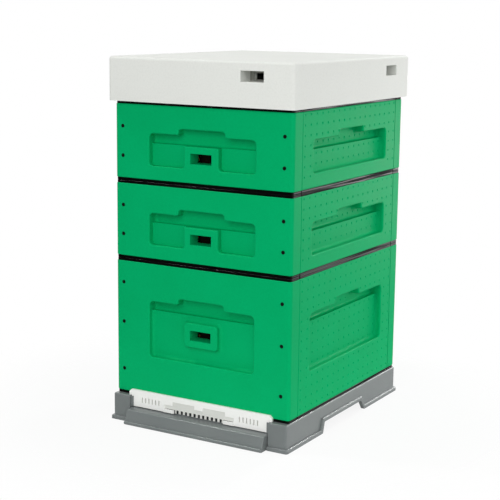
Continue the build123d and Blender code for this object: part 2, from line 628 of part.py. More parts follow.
def landing_board():
    """Ramp shell with a rolled foot, open underneath, and two hooks at the back."""
    back, foot, r = PORCH_Y, LAND_FOOT_Y, LAND_ROLL_R
    outline = [
        (back, 0), (back, LAND_TOP), (LAND_EDGE_Y, LAND_EDGE_Z),
        (foot + LAND_HEEL, 2 * r), (foot, r), (foot, 0),
    ]
    ramp = prism(outline, "x", -LAND_HALF, 2 * LAND_HALF)
    nose = [e for e in ramp.edges().filter_by(Axis.X) if abs(e.center().Y - LAND_EDGE_Y) < 0.01]
    ramp = fillet(nose, LAND_NOSE_R)
    ends = [e for face in ramp.faces().filter_by(Axis.X) for e in face.edges()]
    ramp = fillet([e for e in ends if e.center().Z > r and e.center().Y < back - 0.1], LAND_END_R)
    roll = Pos(0, foot, r) * Rot(0, 90, 0) * Cylinder(r, 2 * LAND_HALF)
    ramp += fillet(roll.edges().filter_by(GeomType.CIRCLE), LAND_END_R)
    s = LAND_SHELL
    hollow = [
        (back + 1, -1), (back + 1, LAND_TOP - s - LAND_CROWN),
        (LAND_EDGE_Y + s, LAND_EDGE_Z - s - LAND_CROWN),
        (foot + LAND_HEEL + s, 2 * r), (foot + s, r), (foot + s, -1),
    ]
    ramp -= prism(hollow, "x", -LAND_HALF + s, 2 * (LAND_HALF - s))
    ramp += block(-LAND_HALF + s, LAND_HALF - s, back - s, back, LAND_WEB_FOOT, LAND_TOP - 1)
    for side in (-1, 1):
        x = side * HOOK_X
        ramp += block(x - HOOK_HALF, x + HOOK_HALF, back - 1, back + HOOK_L, HOOK_Z, HOOK_Z + HOOK_T)
    return ramp


def floor_grille():
    g, seat = GRILLE_HALF, GRILLE_SEAT
    plate = block(-g, g, GRILLE_FRONT, GRILLE_BACK, DECK_TOP - GRILLE_T, DECK_TOP)
    y0, y1 = GRILLE_FRONT + seat + GRILLE_RIM, GRILLE_BACK - seat - GRILLE_RIM
    middle, slot = (y0 + y1) / 2, GRILLE_SLOT / 2
    pitch = 2 * (g - seat - GRILLE_RIM) / GRILLE_BARS
    for i in range(GRILLE_BARS):
        x = (i - (GRILLE_BARS - 1) / 2) * pitch
        for a, c in ((y0, middle - GRILLE_BRIDGE / 2), (middle + GRILLE_BRIDGE / 2, y1)):
            plate -= block(x - slot, x + slot, a, c, DECK_TOP - GRILLE_T - 1, DECK_TOP + 1)
    return plate


def inspection_tray():
    h, back = TRAY_HALF, BASE_BACK
    rim_top, face_top = TRAY_Z + TRAY_FACE_H / 2, TRAY_Z + TRAY_FACE_H
    tray = block(-h, h, TRAY_FRONT, back, TRAY_Z, TRAY_Z + TRAY_T)
    tray += block(-h, h, back - TRAY_FACE_T, back, TRAY_Z, face_top)
    for x in (-h, h - TRAY_RIM_T):
        tray += block(x, x + TRAY_RIM_T, TRAY_FRONT, back, TRAY_Z, rim_top)
    tray += block(-h, h, TRAY_FRONT, TRAY_FRONT + TRAY_RIM_T, TRAY_Z, rim_top)
    grip, grip_back = TRAY_GRIP_HALF, back + TRAY_GRIP_OUT
    tray += block(-grip, grip, back - 1, grip_back, face_top - TRAY_GRIP_H, face_top)
    return tray


def entrance_closure():
    """White plate in the slots of the corner blocks, hollowed at the back for the gate."""
    y1 = FRONT_Y - CLOSURE_GAP
    y0 = y1 - CLOSURE_T
    c, e, z0, z1, ear = CLOSURE_HALF, EAR_HALF, CLOSURE_BOTTOM, CLOSURE_TOP, BASE_H
    outline = [
        (-c, z0), (c, z0), (c, ear), (e, ear), (e, ear + EAR_H), (e - EAR_CHAMFER, z1),
        (-e + EAR_CHAMFER, z1), (-e, ear + EAR_H), (-e, ear), (-c, ear),
    ]
    plate = prism(outline, "y", y0, CLOSURE_T)
    # pocket that the gate runs in, open at the foot and to the back between its guides
    gate0, gate1 = y0 + SKIN, y0 + SKIN + GATE_T + 2 * GATE_GAP
    run = GATE_TOP + GATE_TRAVEL + GATE_STOP
    plate -= block(-GATE_HALF - GATE_GAP, GATE_HALF + GATE_GAP, gate0, gate1, z0 - 1, run)
    plate -= block(-WINDOW_HALF + GUIDE, WINDOW_HALF - GUIDE, gate0, y1 + 1, z0 - 1, run)
    # window in the front skin, leaving the tabs and the lower blocks
    plate -= block(-WINDOW_HALF, WINDOW_HALF, y0 - 1, gate0, z0 - 1, WINDOW_TOP)
    tabs = [(-MID_TAB_HALF, MID_TAB_HALF, WINDOW_TOP - MID_TAB_H, WINDOW_TOP)]
    for side in (-1, 1):
        x0, x1 = sorted((side * UPPER_TAB_IN, side * (WINDOW_HALF + 1)))
        tabs.append((x0, x1, UPPER_TAB_BOTTOM, WINDOW_TOP))
    for a, d, low, high in tabs:
        plate += block(a, d, y0, gate0, low, high + 1)
    for side in (-1, 1):
        x0, x1 = sorted((side * LOWER_BLOCK_IN, side * (WINDOW_HALF + 1)))
        plate += block(x0, x1, y0 - LOWER_BLOCK_OUT, gate0, z0, LOWER_BLOCK_TOP)
        for i in range(VENT_MARKS):
            x, half = side * (VENT_MARK_X + i * VENT_MARK_PITCH), VENT_MARK_W / 2
            low, high = VENT_MARK_Z, VENT_MARK_Z + VENT_MARK_H
            plate -= block(x - half, x + half, y0 - 1, y0 + VENT_MARK_DEEP, low, high)
    return plate


def entrance_gate():
    y0 = FRONT_Y - CLOSURE_GAP - CLOSURE_T + SKIN + GATE_GAP
    gate = block(-GATE_HALF, GATE_HALF, y0, y0 + GATE_T, GATE_BAR_Z, GATE_TOP)
    gate += block(-COMB_HALF, COMB_HALF, y0, y0 + GATE_T, GATE_BOTTOM, GATE_BAR_Z + 1)
    half = COMB_SLOT / 2
    for i in range(COMB_SLOTS):
        x = (i - (COMB_SLOTS - 1) / 2) * COMB_PITCH
        gate -= block(x - half, x + half, y0 - 1, y0 + GATE_T + 1, GATE_BOTTOM - 1, GATE_BAR_Z)
    return gate


def crown_board():
    x, y = INNER_W / 2 + CROWN_LAP, INNER_D / 2 + CROWN_LAP
    return block(-x, x, -y, y, SUPER2_TOP, SUPER2_TOP + CROWN_T)


def roof():
    """Foam lid with a hollow under it and a stepped vent near the right end of each side."""
    z0 = SUPER2_TOP
    z1 = z0 + ROOF_H
    x, y = ROOF_HALF_W, ROOF_HALF_D
    lid = block(-x, x, -y, y, z0, z1)
    lid = fillet(lid.edges().filter_by(Axis.Z), ROOF_R)
    lid = fillet(lid.edges().group_by(Axis.Z)[-1], ROOF_TOP_R)
    cx, cy = INNER_W / 2 + CROWN_LAP + CROWN_GAP, INNER_D / 2 + CROWN_LAP + CROWN_GAP
    lid -= block(-cx, cx, -cy, cy, z0 - 1, z0 + CROWN_T + CROWN_AIR)
    hollow = block(-INNER_W / 2, INNER_W / 2, -INNER_D / 2, INNER_D / 2, z0 - 1, z1 - ROOF_TOP_T)
    hollow = fillet(hollow.edges().filter_by(Axis.Z), ROOF_CAVITY_R)
    lid -= hollow
    v0, v1 = z0 + ROOF_VENT_Z, z0 + ROOF_VENT_Z + ROOF_VENT_H
    for turn, half_len, half_out in ((0, x, y), (90, y, x), (180, x, y), (270, y, x)):
        a = half_len - ROOF_VENT_END
        inside = (INNER_D if turn % 180 == 0 else INNER_W) / 2
        vent, sill, hole = ROOF_VENT_W / 2, v0 + ROOF_VENT_SILL, ROOF_VENT_HOLE_W / 2
        slot = block(a - vent, a + vent, -half_out - 1, -inside - ROOF_VENT_SKIN, v0, v1)
        slot += block(a - hole, a + hole, -half_out - 1, -inside + 1, sill, sill + ROOF_VENT_HOLE_H)
        lid -= Rot(0, 0, turn) * slot
    return lid


write("bottom_board", [bottom_board()])
write("landing_board", [landing_board()])
write("floor_grille", [floor_grille()])
write("inspection_tray", [inspection_tray()])
write("entrance_closure", [entrance_closure()])
write("entrance_gate", [entrance_gate()])

brood_boss = (BOSS_HALF, BROOD_BOSS_Z, BROOD_BOSS_H)
super_boss = (BOSS_HALF, SUPER_POCKET_Z - 1, SUPER_POCKET_H + 2)
brood_form = (BROOD_PANEL_H, BROOD_POCKET_Z, BROOD_POCKET_H, brood_boss, BROOD_SCREW_Z, BROOD_HOLE_Z)
super_form = (SUPER_PANEL_H, SUPER_POCKET_Z, SUPER_POCKET_H, super_boss, SUPER_SCREW_Z, SUPER_HOLE_Z)
box_nodes("brood", BROOD_Z, *brood_form)
box_nodes("lower_super", SUPER1_Z, *super_form)
box_nodes("upper_super", SUPER2_Z, *super_form)

frame_nodes("brood", BROOD_TOP, BROOD_FRAME_H, BROOD_SHOULDER_H)
frame_nodes("lower_super", SUPER1_TOP, SUPER_FRAME_H, SUPER_SHOULDER_H)
frame_nodes("upper_super", SUPER2_TOP, SUPER_FRAME_H, SUPER_SHOULDER_H)

write("crown_board", [crown_board()])
write("roof", [roof()])
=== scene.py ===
# %% [markdown]
# # A foam beehive, dressed for its photograph
#
# The hive is a stack of moulded foam boxes on a grey plastic bottom board. The CAD model already
# holds every solid at its real size, so this lesson adds what a solid model lacks: the finish of
# each material, the marks of the mould in the foam, the rims of the screw heads, soft studio light
# and a camera at the photograph's place.

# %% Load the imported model
import json
import math

import bmesh
import bpy
from mathutils import Matrix, Vector
from mathutils.bvhtree import BVHTree


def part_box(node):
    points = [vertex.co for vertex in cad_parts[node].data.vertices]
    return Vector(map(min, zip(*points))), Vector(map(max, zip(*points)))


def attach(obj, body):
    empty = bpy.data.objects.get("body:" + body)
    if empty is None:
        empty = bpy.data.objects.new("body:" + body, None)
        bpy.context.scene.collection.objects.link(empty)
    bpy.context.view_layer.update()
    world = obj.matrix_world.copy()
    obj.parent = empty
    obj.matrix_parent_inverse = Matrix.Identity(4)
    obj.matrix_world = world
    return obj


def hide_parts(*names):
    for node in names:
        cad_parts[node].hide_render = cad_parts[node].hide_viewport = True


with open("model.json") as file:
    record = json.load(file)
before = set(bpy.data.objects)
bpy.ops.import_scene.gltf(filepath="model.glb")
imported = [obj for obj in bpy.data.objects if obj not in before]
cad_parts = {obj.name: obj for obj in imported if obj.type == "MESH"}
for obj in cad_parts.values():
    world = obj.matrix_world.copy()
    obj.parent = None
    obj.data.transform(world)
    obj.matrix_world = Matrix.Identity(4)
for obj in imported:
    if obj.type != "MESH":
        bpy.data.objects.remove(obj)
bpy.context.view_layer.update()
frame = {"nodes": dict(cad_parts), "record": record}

# %% [markdown]
# ## Camera
#
# The view was solved from the hive's own corners: the angle round it, the height above it, a small
# roll, and the distance, which sets how strongly the edges converge. A tracking constraint could
# aim the camera, but it leaves no room for the roll, so the camera's three axes are built from the
# angles instead.

# %% Camera at the photograph's place
MM = 0.001
VIEW_AROUND, VIEW_ABOVE, VIEW_ROLL = (math.radians(a) for a in (30.519, 10.68, 0.673))
VIEW_DISTANCE = 2961.6 * MM
VIEW_TARGET = Vector((-27.75, 3.4, 366.4)) * MM
VIEW_END = 50.0
LENS_MM = 92.0


def direction(around, above):
    """Away from the hive, at an angle round it from the front and an angle above the floor."""
    return Vector((
        math.sin(around) * math.cos(above),
        -math.cos(around) * math.cos(above),
        math.sin(above),
    ))


def put(name, data):
    """A new object in the scene."""
    made = bpy.data.objects.new(name, data)
    bpy.context.scene.collection.objects.link(made)
    return made


back = direction(VIEW_AROUND, VIEW_ABOVE)
level = Vector((math.cos(VIEW_AROUND), math.sin(VIEW_AROUND), 0))
upright = back.cross(level)
right = math.cos(VIEW_ROLL) * level + math.sin(VIEW_ROLL) * upright
up = -math.sin(VIEW_ROLL) * level + math.cos(VIEW_ROLL) * upright
pose = Matrix((right, up, back)).transposed().to_4x4()
pose.translation = VIEW_TARGET + VIEW_DISTANCE * back
camera = put("camera", bpy.data.cameras.new("camera"))
camera.data.lens = LENS_MM
camera.data.clip_end = VIEW_END
camera.matrix_world = pose
bpy.context.scene.camera = camera
print("camera at", [round(c, 3) for c in camera.matrix_world.translation])

# %% [markdown]
# ## Small tools for materials
#
# Colours are written as sRGB hex values, as a paint chart gives them, and turned to the linear
# numbers that the renderer uses. One function adds any node, sets it and links it. A Mix node has
# sockets of the same name for each kind of data, so those for colours are called by number.

# %% Colour and node helpers
MIX_BY, COLOUR_A, COLOUR_B, MIXED = 0, 6, 7, 2


def paint(code):
    """The linear colour of an sRGB hex value."""
    parts = [int(code[i : i + 2], 16) / 255 for i in (1, 3, 5)]
    return (*[c / 12.92 if c <= 0.04045 else ((c + 0.055) / 1.055) ** 2.4 for c in parts], 1.0)


def per_metre(size_mm):
    """The scale that gives a pattern a real size."""
    return 1000 / size_mm


def add(tree, kind, sockets=None, **settings):
    """A new node with its settings, and a number or a link in each socket that is named."""
    made = tree.nodes.new(kind)
    for name, value in settings.items():
        setattr(made, name, value)
    for key, value in (sockets or {}).items():
        if isinstance(value, bpy.types.NodeSocket):
            tree.links.new(value, made.inputs[key])
        else:
            made.inputs[key].default_value = value
    return made


def start(name):
    """A new material, its tree, its shader, and the position in metres on the piece."""
    material = bpy.data.materials.new(name)
    material.use_nodes = True
    tree = material.node_tree
    place = add(tree, "ShaderNodeTexCoord").outputs["Object"]
    return material, tree, tree.nodes["Principled BSDF"], place


print("mid grey is", round(paint("#808080")[0], 3), "in linear light")

# %% [markdown]
# ## Painted foam
#
# The boxes are expanded polystyrene: beads of about 4 mm, steamed together in a mould, then sprayed
# with green water-based paint. The eye sees a smooth satin skin with the beads just showing through
# as shallow cells. Modelled cells would be thousands of faces for a dent that no outline shows, so
# a Voronoi pattern, which has that very shape, tints and dents the skin. A slow noise makes the
# paint slightly cloudy. Paint starts from an IOR of about 1.5, but this one is so flat that 1.13
# matches it: it shines only at a glancing angle.

# %% Painted foam for the boxes
BEAD_MM = 4.2
BEAD_RELIEF = 0.3 * MM
CLOUD_MM = 110.0
FINISH = {}

material, tree, shader, place = start("painted_polystyrene_green")
beads = add(
    tree, "ShaderNodeTexVoronoi",
    {"Vector": place, "Scale": per_metre(BEAD_MM), "Randomness": 0.85},
)
cloud = add(
    tree, "ShaderNodeTexNoise",
    {"Vector": place, "Scale": per_metre(CLOUD_MM), "Detail": 3.0},
)
tint = add(
    tree, "ShaderNodeMix",
    {MIX_BY: cloud.outputs[0], COLOUR_A: paint("#00A662"), COLOUR_B: paint("#00AF6C")},
    data_type="RGBA",
)
seam = add(
    tree, "ShaderNodeMapRange",
    {"Value": beads.outputs["Distance"], "From Min": 0.35, "From Max": 0.75, "To Max": 0.12},
)
green = add(
    tree, "ShaderNodeMix",
    {MIX_BY: seam.outputs[0], COLOUR_A: tint.outputs[MIXED], COLOUR_B: paint("#008D4F")},
    data_type="RGBA",
)
skin = add(
    tree, "ShaderNodeMapRange",
    {"Value": cloud.outputs[0], "To Min": 0.46, "To Max": 0.56},
)
relief = add(
    tree, "ShaderNodeBump",
    {"Height": beads.outputs["Distance"], "Strength": 0.10, "Distance": BEAD_RELIEF},
    invert=True,
)
tree.links.new(green.outputs[MIXED], shader.inputs["Base Color"])
tree.links.new(skin.outputs[0], shader.inputs["Roughness"])
tree.links.new(relief.outputs[0], shader.inputs["Normal"])
shader.inputs["IOR"].default_value = 1.13
FINISH["green_foam"] = material
print("made", material.name)

# %% [markdown]
# ## Bare foam
#
# The roof is the same foam left white. With no paint over them the beads show as faintly darker
# seams between paler cells, and the skin is dull all over. The same Voronoi pattern serves, with
# its own colours, so that roof and boxes are plainly one kind of moulding.

# %% Bare foam for the roof
material, tree, shader, place = start("moulded_polystyrene_white")
beads = add(
    tree, "ShaderNodeTexVoronoi",
    {"Vector": place, "Scale": per_metre(BEAD_MM), "Randomness": 0.9},
)
cloud = add(
    tree, "ShaderNodeTexNoise",
    {"Vector": place, "Scale": per_metre(CLOUD_MM), "Detail": 2.0},
)
tint = add(
    tree, "ShaderNodeMix",
    {MIX_BY: cloud.outputs[0], COLOUR_A: paint("#E2E4DF"), COLOUR_B: paint("#E6E8E3")},
    data_type="RGBA",
)
seam = add(
    tree, "ShaderNodeMapRange",
    {"Value": beads.outputs["Distance"], "From Min": 0.4, "From Max": 0.8, "To Max": 0.11},
)
white = add(
    tree, "ShaderNodeMix",
    {MIX_BY: seam.outputs[0], COLOUR_A: tint.outputs[MIXED], COLOUR_B: paint("#C8CBC5")},
    data_type="RGBA",
)
relief = add(
    tree, "ShaderNodeBump",
    {"Height": beads.outputs["Distance"], "Strength": 0.08, "Distance": BEAD_RELIEF},
    invert=True,
)
tree.links.new(white.outputs[MIXED], shader.inputs["Base Color"])
tree.links.new(relief.outputs[0], shader.inputs["Normal"])
shader.inputs["Roughness"].default_value = 0.62
shader.inputs["IOR"].default_value = 1.36
FINISH["white_foam"] = material
print("made", material.name)

# %% [markdown]
# Air goes in and out through the roof's vents. The step round each hole is painted dark grey as
# painted shade, for the shade that lies deep in each vent. A painted mask would need an image, so
# the painted shade goes by place: two flat boxes, mirrored about the roof's middle, hold those
# steps and no other surface.

# %% Painted shade on the roof's vent steps
VENT_STEP_Z = 781.45 * MM
FRONT_STEP, FRONT_STEP_HALF = Vector((131.4, 238.55, 0)) * MM, Vector((27.6, 0.5, 11.4)) * MM
SIDE_STEP, SIDE_STEP_HALF = Vector((196.0, 181.15, 0)) * MM, Vector((0.5, 27.6, 11.4)) * MM


def inside_box(tree, place, centre, middle, half):
    """1 in a box and in its mirror images about the centre, 0 elsewhere."""
    away = add(tree, "ShaderNodeVectorMath", {0: place, 1: centre}, operation="SUBTRACT")
    folded = add(tree, "ShaderNodeVectorMath", {0: away.outputs[0]}, operation="ABSOLUTE")
    off = add(tree, "ShaderNodeVectorMath", {0: folded.outputs[0], 1: middle}, operation="SUBTRACT")
    share = add(tree, "ShaderNodeVectorMath", {0: off.outputs[0], 1: half}, operation="DIVIDE")
    size = add(tree, "ShaderNodeVectorMath", {0: share.outputs[0]}, operation="ABSOLUTE")
    x, y, z = add(tree, "ShaderNodeSeparateXYZ", {0: size.outputs[0]}).outputs
    level = add(tree, "ShaderNodeMath", {0: x, 1: y}, operation="MAXIMUM")
    most = add(tree, "ShaderNodeMath", {0: level.outputs[0], 1: z}, operation="MAXIMUM")
    inside = add(tree, "ShaderNodeMath", {0: most.outputs[0], 1: 1.0}, operation="LESS_THAN")
    return inside.outputs[0]


def painted_shade(finish, code, centre, middle, half):
    """Painted shade: grey a finish in a box and in its mirror images about the centre."""
    tree = finish.node_tree
    colour = tree.nodes["Principled BSDF"].inputs["Base Color"]
    place = add(tree, "ShaderNodeTexCoord").outputs["Object"]
    inside = inside_box(tree, place, centre, middle, half)
    # painted shade: the grey is mixed into the finish's colour inside the boxes
    shaded_colour = add(
        tree, "ShaderNodeMix",
        {MIX_BY: inside, COLOUR_A: colour.links[0].from_socket, COLOUR_B: paint(code)},
        data_type="RGBA",
    )
    tree.links.new(shaded_colour.outputs[MIXED], colour)
    print("dust on", finish.name)


low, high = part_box("roof")
roof_middle = Vector(((low.x + high.x) / 2, (low.y + high.y) / 2, VENT_STEP_Z))
# painted shade: dark grey on the vent steps stands for the shade deep in each vent
painted_shade(FINISH["white_foam"], "#7A7B75", roof_middle, FRONT_STEP, FRONT_STEP_HALF)
painted_shade(FINISH["white_foam"], "#7A7B75", roof_middle, SIDE_STEP, SIDE_STEP_HALF)

# %% [markdown]
# ## Plastics
#
# Four mouldings of polypropylene differ only in colour and in how smooth the mould was, so one loop
# makes them all. The grey bottom board has the strongest grain, sparked into its mould, and still a
# soft shine. The white closure, its pale grey gate and the tray are smoother and duller. The real
# grain is finer; this one is as coarse as it needs to be to show.

# %% Moulded plastics
GRAIN_MM = 1.1
GRAIN_RELIEF = 0.2 * MM
FLOW_MM = 140.0
SMOOTHER, ROUGHER = 0.05, 0.07

# for each slot: material, darker and paler colour, roughness, strength of the grain
PLASTICS = {
    "grey_plastic": ("moulded_polypropylene_grey", "#717677", "#7B807F", 0.22, 0.05),
    "white_plastic": ("moulded_polypropylene_white", "#F1F1EE", "#F5F5F3", 0.36, 0.03),
    "gate_plastic": ("moulded_polypropylene_light_grey", "#D8D9D4", "#DFE0DB", 0.36, 0.03),
    "tray_plastic": ("moulded_polypropylene_pale", "#DCDCD7", "#E4E4DF", 0.40, 0.04),
}
for slot, (name, darker, paler, rough, grain) in PLASTICS.items():
    material, tree, shader, place = start(name)
    flow = add(
        tree, "ShaderNodeTexNoise",
        {"Vector": place, "Scale": per_metre(FLOW_MM), "Detail": 3.0},
    )
    spark = add(
        tree, "ShaderNodeTexNoise",
        {"Vector": place, "Scale": per_metre(GRAIN_MM), "Detail": 2.0},
    )
    tint = add(
        tree, "ShaderNodeMix",
        {MIX_BY: flow.outputs[0], COLOUR_A: paint(darker), COLOUR_B: paint(paler)},
        data_type="RGBA",
    )
    sheen = add(
        tree, "ShaderNodeMapRange",
        {"Value": spark.outputs[0], "To Min": rough - SMOOTHER, "To Max": rough + ROUGHER},
    )
    relief = add(
        tree, "ShaderNodeBump",
        {"Height": spark.outputs[0], "Strength": grain, "Distance": GRAIN_RELIEF},
    )
    tree.links.new(tint.outputs[MIXED], shader.inputs["Base Color"])
    tree.links.new(sheen.outputs[0], shader.inputs["Roughness"])
    tree.links.new(relief.outputs[0], shader.inputs["Normal"])
    shader.inputs["IOR"].default_value = 1.49
    FINISH[slot] = material
print("plastics", sorted(PLASTICS))

# %% [markdown]
# The closure's narrow vents are greyed too, as painted shade for the shade in their slots. The
# vents are the only surfaces inside one flat box at each end of the closure, so the same test of
# place is enough.

# %% Painted shade in the closure's vents
CLOSURE_VENTS = Vector((126.9, 254.6, 52.0)) * MM
CLOSURE_VENTS_HALF = Vector((24.4, 0.8, 6.2)) * MM

hive_middle = Vector((0, 0, 0))
# painted shade: grey in the vents stands for the shade in their narrow slots
painted_shade(FINISH["white_plastic"], "#D4D4CF", hive_middle, CLOSURE_VENTS, CLOSURE_VENTS_HALF)

# %% [markdown]
# The black edging is extruded: it is drawn through a die, and every nick in the die leaves a line
# along the whole strip. Modelled grooves would be far too fine to render, so noise that is
# stretched along the strips and left short in height gives the lines. A smooth line mirrors the
# white room and a rough one blurs it, which draws grey streaks on the black. Real lines are finer;
# these are as coarse as they need to be to show at this distance.

# %% Extruded edging
DIE_LINE_MM = 3.0
DIE_LINE_RUN_MM = 240.0
DIE_LINE_RELIEF = 0.3 * MM

material, tree, shader, place = start("extruded_plastic_black")
drawn = DIE_LINE_MM / DIE_LINE_RUN_MM
along = add(tree, "ShaderNodeMapping", {"Vector": place, "Scale": (drawn, drawn, 1)})
lines = add(
    tree, "ShaderNodeTexNoise",
    {"Vector": along.outputs[0], "Scale": per_metre(DIE_LINE_MM), "Detail": 2.0},
)
tint = add(
    tree, "ShaderNodeMix",
    {MIX_BY: lines.outputs[0], COLOUR_A: paint("#020202"), COLOUR_B: paint("#060606")},
    data_type="RGBA",
)
streaks = {"From Min": 0.44, "From Max": 0.56, "To Min": 0.32, "To Max": 0.95}
sheen = add(tree, "ShaderNodeMapRange", {"Value": lines.outputs[0], **streaks})
relief = add(
    tree, "ShaderNodeBump",
    {"Height": lines.outputs[0], "Strength": 0.3, "Distance": DIE_LINE_RELIEF},
)
tree.links.new(tint.outputs[MIXED], shader.inputs["Base Color"])
tree.links.new(sheen.outputs[0], shader.inputs["Roughness"])
tree.links.new(relief.outputs[0], shader.inputs["Normal"])
shader.inputs["IOR"].default_value = 1.42
FINISH["black_plastic"] = material
print("made", material.name)

# %% [markdown]
# ## Screws and crown board
#
# The screws are steel under a dull black coat. The coat is what the eye sees, so the material is a
# dark one with slight wear rather than a metal. The crown board is a sheet of clear polycarbonate:
# light goes through it, and a fine haze of handling keeps it from being quite invisible.

# %% Coated screws and clear sheet
HAZE_MM = 30.0

material, tree, shader, place = start("black_coated_steel")
wear = add(tree, "ShaderNodeTexNoise", {"Vector": place, "Scale": per_metre(GRAIN_MM)})
tint = add(
    tree, "ShaderNodeMix",
    {MIX_BY: wear.outputs[0], COLOUR_A: paint("#050505"), COLOUR_B: paint("#171717")},
    data_type="RGBA",
)
tree.links.new(tint.outputs[MIXED], shader.inputs["Base Color"])
shader.inputs["Roughness"].default_value = 0.45
FINISH["black_screw"] = material

material, tree, shader, place = start("clear_polycarbonate")
haze = add(
    tree, "ShaderNodeTexNoise",
    {"Vector": place, "Scale": per_metre(HAZE_MM), "Detail": 4.0},
)
dull = add(
    tree, "ShaderNodeMapRange",
    {"Value": haze.outputs[0], "To Min": 0.08, "To Max": 0.22},
)
tree.links.new(dull.outputs[0], shader.inputs["Roughness"])
shader.inputs["Base Color"].default_value = paint("#E9EFEF")
shader.inputs["Transmission Weight"].default_value = 0.85
shader.inputs["IOR"].default_value = 1.58
FINISH["crown_sheet"] = material
print("made", FINISH["black_screw"].name, "and", FINISH["crown_sheet"].name)

# %% [markdown]
# ## Pine
#
# The frames are planed pine laths. The grain runs along each lath, so one pattern is stretched
# front to back on the top and bottom bars and upright on the end bars. The ends are told apart by
# how far out they stand, which saves a second material and keeps the grain in step.

# %% Grain along each lath
LATH_STRETCH = 0.06
END_BAR_FROM_MIDDLE = 207.4 * MM
VECTOR_A, VECTOR_B, MIXED_VECTOR = 4, 5, 1

material, tree, shader, place = start("planed_pine")
low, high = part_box("brood_frame_01")
lath_middle = (low.y + high.y) / 2
y = add(tree, "ShaderNodeSeparateXYZ", {0: place}).outputs["Y"]
out = add(tree, "ShaderNodeMath", {0: y, 1: lath_middle}, operation="SUBTRACT")
far = add(tree, "ShaderNodeMath", {0: out.outputs[0]}, operation="ABSOLUTE")
is_end = add(
    tree, "ShaderNodeMath",
    {0: far.outputs[0], 1: END_BAR_FROM_MIDDLE},
    operation="GREATER_THAN",
).outputs[0]
along = add(tree, "ShaderNodeMapping", {"Vector": place, "Scale": (1, LATH_STRETCH, 1)})
upward = add(tree, "ShaderNodeMapping", {"Vector": place, "Scale": (1, 1, LATH_STRETCH)})
lie = add(
    tree, "ShaderNodeMix",
    {MIX_BY: is_end, VECTOR_A: along.outputs[0], VECTOR_B: upward.outputs[0]},
    data_type="VECTOR",
)
print("end bars stand", round(END_BAR_FROM_MIDDLE / MM, 1), "mm from the middle")

# %% [markdown]
# The growth rings are noise in bands of 20 mm, which its finer detail breaks up into rings of a few
# millimetres. A wave texture has rings too, but they are so even that they look printed. Bees coat
# the end bars with propolis, which darkens them. The near black here goes beyond that and is
# painted shade, so that the flight holes look dark inside.

# %% Pine laths
LATH_BAND_MM = 20.0
LATH_RELIEF = 0.4 * MM

growth = {"Scale": per_metre(LATH_BAND_MM), "Detail": 6.0, "Distortion": 0.6}
rings = add(tree, "ShaderNodeTexNoise", {"Vector": lie.outputs[MIXED_VECTOR], **growth})
tone = add(
    tree, "ShaderNodeMapRange",
    {"Value": rings.outputs[0], "From Min": 0.35, "From Max": 0.65},
)
clean = add(
    tree, "ShaderNodeMix",
    {MIX_BY: tone.outputs[0], COLOUR_A: paint("#D8B27E"), COLOUR_B: paint("#BC8C54")},
    data_type="RGBA",
)
# painted shade: the end bars are near black so that the flight holes look dark inside; propolis
# gives part of it
end_bar_painted_shade = add(
    tree, "ShaderNodeMix",
    {MIX_BY: tone.outputs[0], COLOUR_A: paint("#1B130C"), COLOUR_B: paint("#120C07")},
    data_type="RGBA",
)
pine = add(
    tree, "ShaderNodeMix",
    {MIX_BY: is_end, COLOUR_A: clean.outputs[MIXED], COLOUR_B: end_bar_painted_shade.outputs[MIXED]},
    data_type="RGBA",
)
relief = add(
    tree, "ShaderNodeBump",
    {"Height": rings.outputs[0], "Strength": 0.15, "Distance": LATH_RELIEF},
)
tree.links.new(pine.outputs[MIXED], shader.inputs["Base Color"])
tree.links.new(relief.outputs[0], shader.inputs["Normal"])
shader.inputs["Roughness"].default_value = 0.6
FINISH["pine"] = material
print("made", material.name)

# %% [markdown]
# ## Wax
#
# The foundation sheets are beeswax, rolled between engraved cylinders that press the start of a
# honeycomb into them. Thousands of modelled cells would make a heavy mesh for sheets that hang
# inside the boxes, so the cells are drawn: the distance to the nearest dot of two oblong grids, one
# shifted into the gaps of the other, makes a honeycomb of paler raised walls.

# %% Pressed wax
CELL_MM = 5.4
CELL_RELIEF = 0.5 * MM
WALL_FROM, WALL_TO = 0.32 * CELL_MM * MM, 0.52 * CELL_MM * MM

material, tree, shader, place = start("pressed_beeswax")
axes = add(tree, "ShaderNodeSeparateXYZ", {0: place})
flat = add(tree, "ShaderNodeCombineXYZ", {0: axes.outputs["Y"], 1: axes.outputs["Z"]})
cell = Vector((CELL_MM, CELL_MM * math.sqrt(3), 1.0)) * MM
cell_middle = (cell.x / 2, cell.y / 2, 0)
nearest = []
for shift in (Vector((0, 0, 0)), cell / 2):
    moved = add(tree, "ShaderNodeVectorMath", {0: flat.outputs[0], 1: shift}, operation="ADD")
    folded = add(
        tree, "ShaderNodeVectorMath",
        {0: moved.outputs[0], 1: (0, 0, 0), 2: cell},
        operation="WRAP",
    )
    centred = add(
        tree, "ShaderNodeVectorMath",
        {0: folded.outputs[0], 1: cell_middle},
        operation="SUBTRACT",
    )
    gap = add(tree, "ShaderNodeVectorMath", {0: centred.outputs[0]}, operation="LENGTH")
    nearest.append(gap.outputs["Value"])
least = add(tree, "ShaderNodeMath", {0: nearest[0], 1: nearest[1]}, operation="MINIMUM")
wall = add(
    tree, "ShaderNodeMapRange",
    {"Value": least.outputs[0], "From Min": WALL_FROM, "From Max": WALL_TO},
)
wax = add(
    tree, "ShaderNodeMix",
    {MIX_BY: wall.outputs[0], COLOUR_A: paint("#C9922F"), COLOUR_B: paint("#E9C067")},
    data_type="RGBA",
)
relief = add(
    tree, "ShaderNodeBump",
    {"Height": wall.outputs[0], "Strength": 0.7, "Distance": CELL_RELIEF},
)
tree.links.new(wax.outputs[MIXED], shader.inputs["Base Color"])
tree.links.new(relief.outputs[0], shader.inputs["Normal"])
shader.inputs["Roughness"].default_value = 0.42
shader.inputs["IOR"].default_value = 1.44
